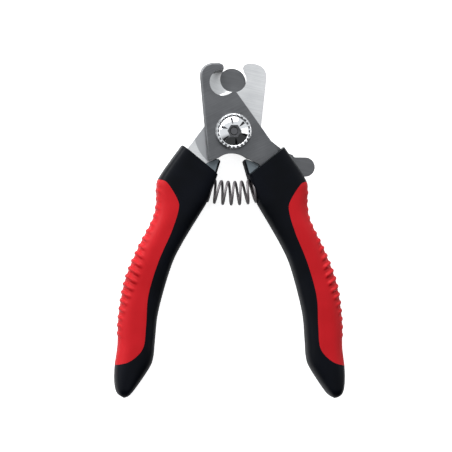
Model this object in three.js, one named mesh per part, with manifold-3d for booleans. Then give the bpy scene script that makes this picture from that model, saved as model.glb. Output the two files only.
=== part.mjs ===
// Plier-type pet nail clipper: two lapped blades with round nail notches cross on one bolt, a
// swinging guard plate stands behind the notches, and a coil spring holds the two handles apart.
// Each handle is two plastic shells screwed together round the blade's tang, with a soft ribbed
// grip let into its outer side. Millimetres. The clipper lies on its back on the table: +Z is up
// out of its front face and +Y runs from the handles to the jaws. Every piece is drawn about the
// pivot, with z = 0 at the table, and the whole is then moved so that the origin is the middle of
// its footprint.
import * as THREE from "three";
import { mergeVertices } from "three/addons/utils/BufferGeometryUtils.js";
import Module from "manifold-3d";

const wasm = await Module();
wasm.setup();

// ---- driving dimensions: blades and guard ----
const handleThickness = 16;
const tangThickness = 4;
const bladeGap = 0.2; // between the two blades, and between the rear blade and the guard
const pivotRadius = 3; // the bolt's shoulder
const pivotGap = 0.12; // running clearance round the shoulder
const lapRadius = 17.8; // the milled circle that lets the blades cross
const heelRadius = 17.3; // reach of a blade's heel, inside the lap
const notchCentre = [-0.3, 23.1];
const notchRadius = 5.6;
const grindShift = [-4.2, -1.1]; // how far the grind's middle has moved at the blade's face
const grindWidening = 0.65; // how much larger its radius is there
const edgeLand = 0.25; // thickness left at the cutting edge

const guardThickness = 1.2;
const guardHubRadius = 9;
const guardDiscCentre = [-0.3, 21.9];
const guardDiscRadius = 6.2;
const guardTabCentre = [33.2, -15.2];
const guardTabRadius = 4.3;
const guardArmUpper = [[8, 3.5], [24.4, -8.9], [27.3, -9.8]]; // from the hub out to the tab
const guardArmLower = [[14, -11.2], [6, -6]]; // from the tab back to the hub
const guardTabNeck = 28.2; // where the tab's upper edge begins
const guardTabRoot = 24.2; // and where its lower edge ends
const guardStopGap = 0.4; // between the guard's arm and the edge of the pocket it rests in

// ---- driving dimensions: the stack on the bolt ----
const stackGap = 0.15; // between neighbours
const boltHeadRadius = 6.2;
const boltHeadHeight = 2.2;
const boltSlot = [1.3, 1.1]; // width and depth of the screwdriver slot
const threadRadius = 2.3;
const threadGap = 0.12;
const waveWasherRadius = 5.6;
const waveWasherThickness = 0.35;
const waveHeight = 0.12;
const waveCount = 3;
const washerRadius = 7.2;
const washerThickness = 0.6;
const nutFlangeRadius = 8;
const nutFlangeHeight = 0.7;
const nutTeeth = 24;
const toothTipRadius = 7.5;
const toothRootRadius = 6.7;
const toothHeight = 1.2;
const nutDomeRadius = 6.3;
const nutDomeHeight = 1.6;
const nutSocketRadius = 3.1; // hexagonal recess, over its corners
const nutSocketDepth = 1.3;

// ---- driving dimensions: handles ----
const partingGap = 0.1; // between a handle's two shells
const fitGap = 0.25; // round a tang or a grip that is seated in plastic
const edgeWidth = 2.2; // the handle's rounded edge, seen from the front
const edgeDepth = 4.6; // the same edge, seen from the side
const gripThickness = 1.7;
const ribCount = 19;
const ribPitch = 3.68;
const ribRadius = 0.95;
const ribInset = 0.3; // how far a rib's middle lies inside the grip's edge
const ribHeight = 8.5;
const firstRibAt = 23.3; // along the handle's outer edge, from its top corner
const hornBack = 1.6; // height of the horn's underside over the table

const screwHeadRadius = 2.1;
const screwHeadHeight = 1.5;
const screwRecess = 0.7; // how deep the head's face lies in the shell
const screwShankRadius = 1.2;
const screwLength = 11.6; // under the head
const screwGap = 0.15;
const screwCross = [0.7, 2.6, 0.8]; // width, length and depth of its slots

const springRadius = 4.95; // mean radius of the coils
const wireRadius = 0.58;
const springTurns = 7.25;
const springBow = 42.6; // the spring bows a little, about a point above the pivot
const springBelowPivot = 27.35;
const springHalfSpan = 10.6; // along the bow, from its middle to the last coil's centre line
const seatGap = 0.35;

// ---- outlines of the right-hand handle and blade, drawn about the pivot ----
// The blade end of a handle is a straight cut, which its outline runs past.
const endOuter = [22.7, -6.6];
const endInner = [6.9, -19.35];
const pastOuter = [17.4, 1.1];
const pastInner = [1.9, -3];
const outerEdge = [
  [22.7, -6.6], [32.4, -20.6], [33.6, -26], [33.6, -32], [35.2, -39.5], [41.6, -52.5], [47.2, -67],
  [49.8, -83], [50.1, -95], [51.2, -104], [51.3, -111], [50.2, -116], [47.1, -118.3],
];
const innerEdge = [
  [43.6, -115.8], [36.2, -105.2], [34.3, -100], [33.6, -92], [32.2, -79.5], [27, -60.5], [22.2, -50],
  [13.6, -35.5], [11.2, -31], [6.9, -19.35],
];
const gripEdge = [
  [38, -19.6], [33, -21.7], [29.6, -23.3], [25.2, -30.2], [24.5, -35], [27.5, -44.8], [33, -57.8],
  [37.3, -72.5], [38.2, -86], [39.4, -95.8], [44.6, -101.4], [50.6, -103.4], [56, -104.6],
];
// The horn carries the rear shell's inner wall on past the cut, under the blades.
const hornOutline = [[7.6, -21], [5.25, -13.2], [6.2, -12.15], [11.9, -14.5], [14.5, -20.5]];
const tangOuterEdge = [
  [20.3, -8.4], [22.6, -14], [24, -21], [24.6, -31], [27, -41], [31.5, -50], [36, -57.2],
];
const tangInnerEdge = [
  [11.7, -14.3], [14.2, -19], [16.3, -26], [17.8, -34], [20.8, -43.5], [25.2, -52.5], [30, -59.5],
];
const tangTip = [34, -60.2];
const screwPlaces = [[20.5, -28], [24.9, -46.2], [44.6, -108.5]];
const screwsThroughTang = 2;

// ---- levels, from the table up ----
const midPlane = handleThickness / 2; // where the blades meet and the shells part
const tangBack = midPlane - tangThickness / 2;
const tangFront = midPlane + tangThickness / 2;
const bladeBack = midPlane + bladeGap / 2; // of the front blade, where it crosses the rear one
const guardFront = tangBack - bladeGap;
const guardBack = guardFront - guardThickness;
const waveMiddle = guardBack - stackGap - waveHeight - waveWasherThickness / 2;
const boltHeadFront = waveMiddle - waveWasherThickness / 2 - waveHeight - stackGap;
const boltHeadBack = boltHeadFront - boltHeadHeight;
const washerBack = tangFront + stackGap;
const nutBack = washerBack + washerThickness + stackGap;
const toothBack = nutBack + nutFlangeHeight;
const domeBack = toothBack + toothHeight;
const nutTop = domeBack + nutDomeHeight;
const threadTop = nutTop - nutSocketDepth + 0.5; // the bolt's end shows in the nut's recess

const pointOf = ([x, y]) => new THREE.Vector2(x, y);
const splineOf = (points) => new THREE.SplineCurve(points.map(pointOf));
const polygon = (points) => new THREE.Shape(points.map(pointOf));
const outerCurve = splineOf(outerEdge);
const gripCurve = splineOf(gripEdge);

// ---- from three.js geometry to a solid and back ----
function solidOf(geometry) {
  const bare = geometry.clone();
  bare.deleteAttribute("normal");
  bare.deleteAttribute("uv");
  const merged = mergeVertices(bare, 1e-4);
  const triVerts = new Uint32Array(merged.index.array);
  const vertProperties = merged.attributes.position.array;
  return new wasm.Manifold(new wasm.Mesh({ numProp: 3, vertProperties, triVerts }));
}

function geometryOf(solid) {
  const mesh = solid.getMesh();
  const geometry = new THREE.BufferGeometry();
  geometry.setAttribute("position", new THREE.BufferAttribute(mesh.vertProperties, 3));
  geometry.setIndex(new THREE.BufferAttribute(mesh.triVerts, 1));
  geometry.computeVertexNormals();
  return geometry;
}

// The same piece for the other side of the clipper.
function mirrored(geometry) {
  const other = geometry.clone().scale(-1, 1, 1);
  other.setIndex(Array.from(other.index.array).reverse());
  return other;
}

const joined = (solids) => solids.reduce((sum, next) => sum.add(next));
const without = (solid, cutters) => cutters.reduce((left, cutter) => left.subtract(cutter), solid);

// A flat shape raised from one level to another.
function prism(shape, low, high, curveSegments = 10) {
  const options = { depth: high - low, bevelEnabled: false, curveSegments };
  return solidOf(new THREE.ExtrudeGeometry(shape, options).translate(0, 0, low));
}

// The handle's outline raised to its full thickness, with both its edges rounded.
function roundedPrism(shape, low, high) {
  const geometry = new THREE.ExtrudeGeometry(shape, {
    depth: high - low - 2 * edgeDepth,
    bevelThickness: edgeDepth,
    bevelSize: edgeWidth,
    bevelOffset: -edgeWidth,
    bevelSegments: 2,
  });
  return solidOf(geometry.translate(0, 0, low + edgeDepth));
}

// A round bar along Z.
function bar(radius, low, high, place = [0, 0], sides = 32) {
  const geometry = new THREE.CylinderGeometry(radius, radius, high - low, sides);
  geometry.rotateX(Math.PI / 2).translate(place[0], place[1], (low + high) / 2);
  return solidOf(geometry);
}

function block(size, centre, turn = 0) {
  return solidOf(new THREE.BoxGeometry(...size).rotateZ(turn).translate(...centre));
}

// Points beside a curve, a distance to the left of its direction of travel.
function besideCurve(curve, distance, steps, from = 0, to = 1) {
  return Array.from({ length: steps + 1 }, (_, i) => {
    const t = from + ((to - from) * i) / steps;
    const along = curve.getTangent(t);
    return curve.getPoint(t).add(new THREE.Vector2(-along.y, along.x).multiplyScalar(distance));
  });
}

// ---- blades ----
// The tang inside the handle, grown by a clearance for the cavity that takes it.
function tangShape(grow = 0) {
  const outer = besideCurve(splineOf(tangOuterEdge), grow, 10);
  const inner = besideCurve(splineOf(tangInnerEdge), -grow, 10).reverse();
  const tip = pointOf(tangTip).add(new THREE.Vector2(0.5, -1).multiplyScalar(grow));
  return new THREE.Shape([...outer, tip, ...inner]);
}

// The blade seen from the front: notch, hooked nose, back, heel, belly arc and tang root.
function bladeShape() {
  const [x, y] = notchCentre;
  const degrees = THREE.MathUtils.degToRad;
  const up = Math.PI / 2;
  const heelX = -11.1;
  const heelY = -Math.sqrt(heelRadius ** 2 - heelX ** 2);
  const bellyX = 6.4;
  const bellyY = -11.9;
  const bellyRise = 2.2;
  const bellyRadius = (bellyX ** 2 + bellyRise ** 2) / (2 * bellyRise);
  const bellyAngle = Math.asin(bellyX / bellyRadius);
  const bellyCentre = bellyY + bellyRise - bellyRadius;
  const shape = new THREE.Shape();
  shape.absarc(x, y, notchRadius, degrees(-76), degrees(160), true);
  shape.splineThru([[-4.8, 26.4], [-4.35, 28], [-4.9, 29.6], [-6.6, 30.4]].map(pointOf));
  shape.splineThru([[-10.2, 30.2], [-13.1, 28.8], [-14.7, 26.4], [-14.9, 23.5]].map(pointOf));
  shape.lineTo(heelX, heelY);
  shape.lineTo(-bellyX, bellyY);
  shape.absarc(0, bellyCentre, bellyRadius, up + bellyAngle, up - bellyAngle, true);
  shape.lineTo(...tangInnerEdge[0]);
  shape.lineTo(18, -16);
  shape.lineTo(...tangOuterEdge[0]);
  return shape;
}

// The slanting grind of the notch: a leaning cone from the cutting edge out to the blade's face.
function notchGrind() {
  const rise = tangFront - bladeBack - edgeLand;
  const span = 2; // in rises, so that the cutter runs out past the face
  const wide = notchRadius + grindWidening * span;
  const cutter = new THREE.CylinderGeometry(wide, notchRadius, rise * span, 36);
  cutter.rotateX(Math.PI / 2).translate(0, 0, (rise * span) / 2);
  const [leanX, leanY] = grindShift.map((shift) => shift / rise);
  const shear = new THREE.Matrix4().set(1, 0, leanX, 0, 0, 1, leanY, 0, 0, 0, 1, 0, 0, 0, 0, 1);
  cutter.applyMatrix4(shear);
  return solidOf(cutter.translate(...notchCentre, bladeBack + edgeLand));
}

function bladeSolid() {
  const plate = prism(bladeShape(), bladeBack, tangFront);
  const tang = prism(tangShape(), tangBack, tangFront);
  const lap = bar(lapRadius, tangBack - 1, bladeBack, [0, 0], 64);
  const pivotHole = bar(pivotRadius + pivotGap, 0, handleThickness);
  const screwHoles = screwPlaces
    .slice(0, screwsThroughTang)
    .map((place) => bar(screwShankRadius + 2 * screwGap, 0, handleThickness, place, 12));
  return without(plate.add(tang.subtract(lap)), [notchGrind(), pivotHole, ...screwHoles]);
}

// ---- guard ----
function guardArm() {
  const [tabX, tabY] = guardTabCentre;
  const half = Math.PI / 2;
  const shape = polygon([[0, 4], ...guardArmUpper, [guardTabNeck, tabY + guardTabRadius]]);
  shape.absarc(tabX, tabY, guardTabRadius, half, -half, true);
  shape.lineTo(guardTabRoot, tabY - guardTabRadius);
  guardArmLower.forEach((corner) => shape.lineTo(...corner));
  return shape;
}

function guardSolid() {
  const [discX, discY] = guardDiscCentre;
  const neck = polygon([[-5.5, 5], [discX - 4, discY - 3.4], [discX + 4, discY - 3.4], [5.5, 5]]);
  const sheet = joined([
    bar(guardHubRadius, guardBack, guardFront),
    bar(guardDiscRadius, guardBack, guardFront, guardDiscCentre),
    prism(neck, guardBack, guardFront),
    prism(guardArm(), guardBack, guardFront),
  ]);
  return sheet.subtract(bar(pivotRadius + pivotGap, 0, handleThickness));
}

// Room in the right-hand rear shell for the guard's arm, open to the side that it swings to.
function guardPocket() {
  const edge = [...guardArmLower].reverse().map(([x, y]) => [x - guardStopGap, y - guardStopGap]);
  const below = guardTabCentre[1] - guardTabRadius - guardStopGap;
  const side = 60;
  const top = 20;
  const room = [...edge, [guardTabRoot - guardStopGap, below], [side, below], [side, top], [0, top]];
  return prism(polygon(room), -1, guardFront + bladeGap / 2);
}

// ---- the stack on the bolt ----
function pivotBolt() {
  const shoulderTop = nutBack - stackGap;
  const bolt = joined([
    bar(boltHeadRadius, boltHeadBack, boltHeadFront),
    bar(pivotRadius, boltHeadFront - 1, shoulderTop),
    bar(threadRadius, shoulderTop - 1, threadTop, [0, 0], 20),
  ]);
  const [width, depth] = boltSlot;
  return bolt.subtract(block([3 * boltHeadRadius, width, 2 * depth], [0, 0, boltHeadBack], 0.5));
}

function ring(outer, inner, low, high) {
  return bar(outer, low, high).subtract(bar(inner, low - 1, high + 1));
}

// A spring washer bent into waves round its rim.
function waveWasher() {
  const half = waveWasherThickness / 2;
  const flat = ring(waveWasherRadius, pivotRadius + pivotGap, waveMiddle - half, waveMiddle + half);
  const geometry = geometryOf(flat);
  const place = geometry.attributes.position;
  for (let i = 0; i < place.count; i += 1) {
    const angle = Math.atan2(place.getY(i), place.getX(i));
    place.setZ(i, place.getZ(i) + waveHeight * Math.cos(waveCount * angle));
  }
  return geometry;
}

// Low flange, a crown of teeth, a dome with a hexagonal recess, and the bore for the bolt.
function pivotNut() {
  const crown = new THREE.Shape(
    Array.from({ length: nutTeeth * 4 }, (_, i) => {
      const radius = i % 4 < 2 ? toothTipRadius : toothRootRadius;
      const angle = ((i + (i % 2 ? -0.3 : 0.3)) / (nutTeeth * 4)) * 2 * Math.PI;
      return new THREE.Vector2(radius * Math.cos(angle), radius * Math.sin(angle));
    }),
  );
  const bulge = [0, 0.3, 0.6, 0.85, 1].map((share) => {
    const radius = nutDomeRadius * Math.cos((share * Math.PI) / 2.6);
    return new THREE.Vector2(radius, domeBack + nutDomeHeight * Math.sin((share * Math.PI) / 2));
  });
  const profile = [new THREE.Vector2(0, nutBack), new THREE.Vector2(nutDomeRadius, nutBack), ...bulge];
  profile.push(new THREE.Vector2(0, nutTop));
  const dome = new THREE.LatheGeometry(profile, 28).rotateX(Math.PI / 2);
  const nut = joined([
    bar(nutFlangeRadius, nutBack, toothBack, [0, 0], 40),
    prism(crown, toothBack - 0.2, domeBack),
    solidOf(dome),
  ]);
  const socket = bar(nutSocketRadius, nutTop - nutSocketDepth, nutTop + 1, [0, 0], 6);
  return without(nut, [socket, bar(threadRadius + threadGap, 0, nutTop + 1, [0, 0], 20)]);
}

// ---- spring ----
// A point of the coil's centre line. The coils stand square to the bow.
class SpringPath extends THREE.Curve {
  getPoint(t) {
    const along = (2 * t - 1) * (springHalfSpan / springBow);
    const turn = (2 * t - 1) * springTurns * Math.PI;
    const reach = springBow - springRadius * Math.cos(turn);
    const height = springBow - springBelowPivot;
    const z = midPlane - springRadius * Math.sin(turn);
    return new THREE.Vector3(reach * Math.sin(along), height - reach * Math.cos(along), z);
  }
}

function returnSpring() {
  const sides = 6;
  const wire = Array.from({ length: sides }, (_, i) => {
    const angle = (i / sides) * 2 * Math.PI;
    return new THREE.Vector2(wireRadius * Math.cos(angle), wireRadius * Math.sin(angle));
  });
  const path = new SpringPath();
  const steps = Math.round(springTurns * 9);
  const options = { steps, extrudePath: path, bevelEnabled: false };
  return solidOf(new THREE.ExtrudeGeometry(new THREE.Shape(wire), options));
}

// The round seat for the spring's end, from the last coil out into the gap between the handles.
function springSeat() {
  const radius = springRadius + wireRadius + seatGap;
  const depth = 12;
  const angle = springHalfSpan / springBow;
  const cutter = new THREE.CylinderGeometry(radius, radius, depth, 20).rotateZ(Math.PI / 2);
  cutter.translate(wireRadius + seatGap - depth / 2, -springBow, 0).rotateZ(angle);
  return solidOf(cutter.translate(0, springBow - springBelowPivot, midPlane));
}

// ---- handles ----
function handleShape() {
  const outline = [...outerEdge, ...innerEdge];
  const edge = splineOf(outline).getPoints(3 * (outline.length - 1));
  return new THREE.Shape([pointOf(pastOuter), ...edge, pointOf(pastInner)]);
}

// Everything on the grip's side of its edge. A positive reach moves the edge into the core.
function gripSide(reach = 0) {
  const edge = besideCurve(gripCurve, -reach, 30);
  const beyond = [[70, -106], [70, -18]].map(pointOf);
  return prism(new THREE.Shape([...edge, ...beyond]), -1, handleThickness + 1);
}

// The rail of the core that the grip wraps round, a depth under the grip's surface.
function gripRail(depth) {
  const skin = besideCurve(outerCurve, -depth, 24, 0.07, 0.8);
  const inside = besideCurve(gripCurve, -2.2, 20, 0.17, 0.82).reverse();
  return prism(new THREE.Shape([...skin, ...inside]), depth, handleThickness - depth);
}

// The material past the straight cut at the blade end.
function pastTheCut() {
  const along = pointOf(endInner).sub(pointOf(endOuter)).normalize();
  const outwards = new THREE.Vector2(along.y, -along.x);
  if (outwards.dot(pointOf(endOuter)) > 0) outwards.negate();
  const reach = 30;
  const corners = [
    pointOf(endOuter).addScaledVector(along, -reach),
    pointOf(endInner).addScaledVector(along, reach),
  ];
  const far = corners.map((corner) => corner.clone().addScaledVector(outwards, reach)).reverse();
  return prism(new THREE.Shape([...corners, ...far]), -1, handleThickness + 1);
}

function ribs() {
  const length = outerCurve.getLength();
  return Array.from({ length: ribCount }, (_, i) => {
    const t = (firstRibAt + i * ribPitch) / length;
    const along = outerCurve.getTangentAt(t);
    const inwards = new THREE.Vector2(along.y, -along.x).multiplyScalar(ribInset);
    const place = outerCurve.getPointAt(t).add(inwards).toArray();
    return bar(ribRadius, midPlane - ribHeight / 2, midPlane + ribHeight / 2, place, 8);
  });
}

function screwSolid(place) {
  const headTop = screwRecess + screwHeadHeight;
  const [width, length, depth] = screwCross;
  const shank = bar(screwShankRadius, headTop - 0.5, headTop + screwLength, place, 10);
  const head = bar(screwHeadRadius, screwRecess, headTop, place, 16);
  const slots = [[length, width], [width, length]].map((size) =>
    block([...size, 2 * depth], [...place, screwRecess], 0.4),
  );
  return without(head.add(shank), slots);
}

function screwBore(place) {
  const headTop = screwRecess + screwHeadHeight + screwGap;
  const shank = bar(screwShankRadius + screwGap, 0, headTop + screwLength, place, 10);
  return bar(screwHeadRadius + screwGap, -1, headTop, place, 16).add(shank);
}

// The two shells and the grip of the right-hand handle. The pocket is for the guard's arm.
function handleSolids(pocket) {
  const body = roundedPrism(handleShape(), 0, handleThickness).subtract(pastTheCut());
  const core = body.subtract(gripSide(fitGap)).add(gripRail(gripThickness + fitGap));
  const horn = prism(polygon(hornOutline), hornBack, midPlane - bladeGap / 2);
  const cavity = prism(tangShape(fitGap), tangBack - partingGap, tangFront + partingGap);
  const cuts = [cavity, springSeat(), ...screwPlaces.map(screwBore)];
  const half = [200, 300, 40]; // larger than the handle on every side of the parting plane
  const front = block(half, [0, -60, midPlane + partingGap / 2 + half[2] / 2]);
  const rear = block(half, [0, -60, midPlane - partingGap / 2 - half[2] / 2]);
  const grip = joined([body.intersect(gripSide()), ...ribs()]);
  return {
    frontShell: without(core.intersect(front), cuts),
    rearShell: without(core.intersect(rear).add(horn), [...cuts, ...(pocket ? [pocket] : [])]),
    grip: grip.subtract(gripRail(gripThickness)),
  };
}

// ---- materials ----
const material = (color, roughness, metalness) =>
  new THREE.MeshStandardMaterial({ color, roughness, metalness });
const darkSteel = material(0x6a6b6d, 0.45, 1);
const brightSteel = material(0xd4d5d6, 0.35, 1);
const guardSteel = material(0x606163, 0.5, 1);
const chrome = material(0xe6e7e8, 0.08, 1);
const springSteel = material(0x6c686a, 0.3, 1);
const zincSteel = material(0xb9bbbd, 0.35, 1);
const blackPlastic = material(0x14171c, 0.5, 0);
const redRubber = material(0xc8202c, 0.6, 0);

// ---- assembly ----
const clipper = new THREE.Group();

function addPiece(name, geometry, look) {
  const piece = new THREE.Mesh(geometry, look);
  piece.name = name;
  clipper.add(piece);
  return piece;
}

const blade = geometryOf(bladeSolid());
addPiece("front_blade", blade, darkSteel);
const rearBlade = addPiece("rear_blade", blade, brightSteel);
rearBlade.rotation.y = Math.PI; // the same blade, turned over
rearBlade.position.z = handleThickness;

addPiece("guard_plate", geometryOf(guardSolid()), guardSteel);
addPiece("pivot_bolt", geometryOf(pivotBolt()), zincSteel);
addPiece("wave_washer", waveWasher(), springSteel);
const washerBore = pivotRadius + pivotGap;
const washer = ring(washerRadius, washerBore, washerBack, washerBack + washerThickness);
addPiece("nut_washer", geometryOf(washer), zincSteel);
addPiece("pivot_nut", geometryOf(pivotNut()), chrome);
addPiece("return_spring", geometryOf(returnSpring()), springSteel);

for (const side of ["left", "right"]) {
  const solids = handleSolids(side === "right" ? guardPocket() : null);
  const shaped = (solid) => (side === "right" ? geometryOf(solid) : mirrored(geometryOf(solid)));
  addPiece(`${side}_front_shell`, shaped(solids.frontShell), blackPlastic);
  addPiece(`${side}_rear_shell`, shaped(solids.rearShell), blackPlastic);
  addPiece(`${side}_grip`, shaped(solids.grip), redRubber);
  screwPlaces.forEach((place, i) => {
    addPiece(`${side}_screw_${i + 1}`, shaped(screwSolid(place)), zincSteel);
  });
}

const footprint = new THREE.Box3().setFromObject(clipper).getCenter(new THREE.Vector3());
clipper.position.set(-footprint.x, -footprint.y, 0);

export default clipper;
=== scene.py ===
# %% [markdown]
# # A plier-type pet nail clipper
# The clipper lies on its back on a white studio table. Two steel blades cross on one bolt, a coil
# spring holds the black and red handles open, and a swinging guard stands behind the notches.
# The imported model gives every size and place. This script gives each piece its real surface.

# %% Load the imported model
import math

import bmesh
import bpy
import numpy as np
from mathutils import Matrix, Vector


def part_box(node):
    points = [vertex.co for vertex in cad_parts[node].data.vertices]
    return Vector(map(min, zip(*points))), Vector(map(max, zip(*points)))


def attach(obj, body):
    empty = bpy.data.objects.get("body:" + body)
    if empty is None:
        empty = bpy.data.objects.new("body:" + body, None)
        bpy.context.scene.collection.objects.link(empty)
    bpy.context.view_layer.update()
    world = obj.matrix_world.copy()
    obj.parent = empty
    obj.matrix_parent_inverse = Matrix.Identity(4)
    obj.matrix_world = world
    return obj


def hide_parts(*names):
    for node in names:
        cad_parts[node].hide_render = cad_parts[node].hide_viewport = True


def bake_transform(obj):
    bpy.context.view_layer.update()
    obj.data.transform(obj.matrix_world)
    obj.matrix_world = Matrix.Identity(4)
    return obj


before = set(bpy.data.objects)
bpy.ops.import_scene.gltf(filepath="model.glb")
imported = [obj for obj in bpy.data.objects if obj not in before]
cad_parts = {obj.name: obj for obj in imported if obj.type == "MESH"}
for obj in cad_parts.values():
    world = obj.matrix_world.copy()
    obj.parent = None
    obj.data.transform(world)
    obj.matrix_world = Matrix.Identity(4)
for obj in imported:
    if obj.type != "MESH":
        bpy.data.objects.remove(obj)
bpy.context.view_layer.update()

# %% [markdown]
# ## Shared measures
# Work is easier in millimetres about the pivot, with z = 0 at the table, because that is how a
# fitter measures a pair of pliers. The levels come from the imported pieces, so each new surface
# lies where the real part is. One function at the end moves a finished mesh to its true place.

# %% Levels and places
MM = 0.001


def level(node, end):
    """Height of a node above the table in mm: end 0 is its lowest face, 1 its highest."""
    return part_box(node)[end].z / MM


bolt_low, bolt_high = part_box("pivot_bolt")
pivot = (bolt_low + bolt_high) / 2
tang_front = level("front_blade", 1)
tang_back = level("front_blade", 0)
handle_top = level("left_front_shell", 1)
mid = handle_top / 2
half_thickness = handle_top / 2
blade_gap = 0.2
blade_back = mid + blade_gap / 2
print("middle plane", round(mid, 2), "tang", round(tang_back, 2), "to", round(tang_front, 2))

# %% [markdown]
# ## Turning a mesh into a piece
# A bmesh is only a shape: it becomes an object here, with its faces pointing out and its sharp
# edges marked. Flat ground faces would look pillowy if the small rounded edge beside them bent
# their shading, so the normals are weighted by area, which keeps the flats flat.

# %% Make and shade an object
collection = bpy.context.scene.collection


def piece(name, bm, *looks, crisp=32):
    """Makes an object of a bmesh, with its looks in the order of their material slots."""
    bmesh.ops.recalc_face_normals(bm, faces=bm.faces)
    mesh = bpy.data.meshes.new(name)
    bm.to_mesh(mesh)
    bm.free()
    thing = bpy.data.objects.new(name, mesh)
    collection.objects.link(thing)
    for look in looks:
        mesh.materials.append(look)
    shade(thing, crisp)
    return thing


def shade(thing, crisp=32):
    """Smooth shading, with edges sharper than the given angle kept crisp."""
    thing.data.polygons.foreach_set("use_smooth", [True] * len(thing.data.polygons))
    thing.data.set_sharp_from_angle(angle=math.radians(crisp))


def applied(thing):
    """Makes a piece's modifiers part of its mesh."""
    graph = bpy.context.evaluated_depsgraph_get()
    mesh = bpy.data.meshes.new_from_object(thing.evaluated_get(graph), depsgraph=graph)
    old = thing.data
    thing.modifiers.clear()
    thing.data = mesh
    bpy.data.meshes.remove(old)
    return thing


def even_out(thing, crisp=32):
    """Shades a piece with normals that follow its large faces."""
    shade(thing, crisp)
    even = thing.modifiers.new("even", "WEIGHTED_NORMAL")
    even.keep_sharp = True
    even.weight = 80
    applied(thing)


def settle(thing):
    """Moves a finished mesh from millimetres about the pivot to metres in the clipper's frame."""
    place = Matrix.Translation((pivot.x, pivot.y, 0)) @ Matrix.Scale(MM, 4)
    thing.data.transform(place)
    return thing


print("pieces go to:", collection.name)

# %% [markdown]
# ## Finishes
# Each finish starts from what the real surface is. Metals are pure reflectors whose look comes
# from how they were worked: long grinding scratches, a tumbled grain or mirror plate. Plastics
# are pigment under a fine moulded texture. Noise patterns on Object coordinates suit both, since
# they need no unwrapping and their scale can be set in real millimetres.

# %% A small kit for materials
def linear(hex_colour):
    """A linear colour from an sRGB hex value."""
    parts = [int(hex_colour[i : i + 2], 16) / 255 for i in (1, 3, 5)]
    straight = [c / 12.92 if c <= 0.04045 else ((c + 0.055) / 1.055) ** 2.4 for c in parts]
    return (*straight, 1)


def add_node(tree, kind, settings=None, inputs=None):
    """Adds a node. Settings are its properties; inputs are values, or sockets to link from."""
    made = tree.nodes.new(kind)
    for key, value in (settings or {}).items():
        setattr(made, key, value)
    for key, value in (inputs or {}).items():
        if isinstance(value, bpy.types.NodeSocket):
            tree.links.new(value, made.inputs[key])
        else:
            made.inputs[key].default_value = value
    return made


def new_finish(name, **values):
    """A material with an empty Principled shader: returns it, its tree and the shader."""
    look = bpy.data.materials.new(name)
    look.use_nodes = True
    tree = look.node_tree
    shader = tree.nodes["Principled BSDF"]
    for key, value in values.items():
        shader.inputs[key.replace("_", " ")].default_value = value
    return look, tree, shader


print("white is", linear("#ffffff"))

# %% [markdown]
# ### Ground and tumbled steel
# A belt or a stone leaves thousands of parallel scratches. Noise that is stretched along one
# direction gives them, and the same noise drives the tone, the roughness and the bump, as the
# real scratches do. Real ones are about 0.03 mm wide; they are drawn ten times as wide here,
# because finer ones blur away at this distance. A slow cloudy noise adds handling marks.

# %% Steel worked by a belt or by stones
scratch_stretch = (0.03, 1, 0.3)  # a scratch is some thirty times as long as it is wide
steel_cloud_mm = 9
steel_grain_mm = 0.35  # the pits left by tumbling are nearer 0.1 mm: drawn coarse, so that they show
# Painted shade in the rear blade's lap: a darker tone inside this radius and left of the pivot, where the
# step and the front blade shade the lap. Its edge lies a little inside the real step.
lap_shade_edge = 17.0  # the milled lap's radius as it shows
lap_shade_blur = 0.4  # the soft width of its edge
lap_shade_side = 10  # how far left of the pivot it reaches its full tone


def paint_lap_shade(tree, place, colour, lap_shade_colour):
    """Painted shade: blends a colour to a darker one inside the lap, on its left-hand side."""
    flat = add_node(
        tree, "ShaderNodeVectorMath", {"operation": "MULTIPLY"}, {0: place, 1: (1, 1, 0)}
    ).outputs[0]
    from_pivot = add_node(
        tree, "ShaderNodeVectorMath", {"operation": "DISTANCE"}, {0: flat, 1: (pivot.x, pivot.y, 0)}
    ).outputs["Value"]
    inside = add_node(
        tree, "ShaderNodeMapRange", {"interpolation_type": "SMOOTHSTEP"},
        {"Value": from_pivot, "From Min": (lap_shade_edge + lap_shade_blur) * MM, "From Max": lap_shade_edge * MM},
    ).outputs["Result"]
    sideways = add_node(tree, "ShaderNodeSeparateXYZ", inputs={"Vector": place}).outputs["X"]
    left_side = add_node(
        tree, "ShaderNodeMapRange", {"interpolation_type": "SMOOTHSTEP"},
        {"Value": sideways, "From Min": 0.0, "From Max": -lap_shade_side * MM},
    ).outputs["Result"]
    share = add_node(
        tree, "ShaderNodeMath", {"operation": "MULTIPLY"}, {0: inside, 1: left_side}
    ).outputs[0]
    return add_node(
        tree, "ShaderNodeMix", {"data_type": "RGBA"}, {0: share, 6: colour, 7: linear(lap_shade_colour)}
    ).outputs[2]


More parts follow.
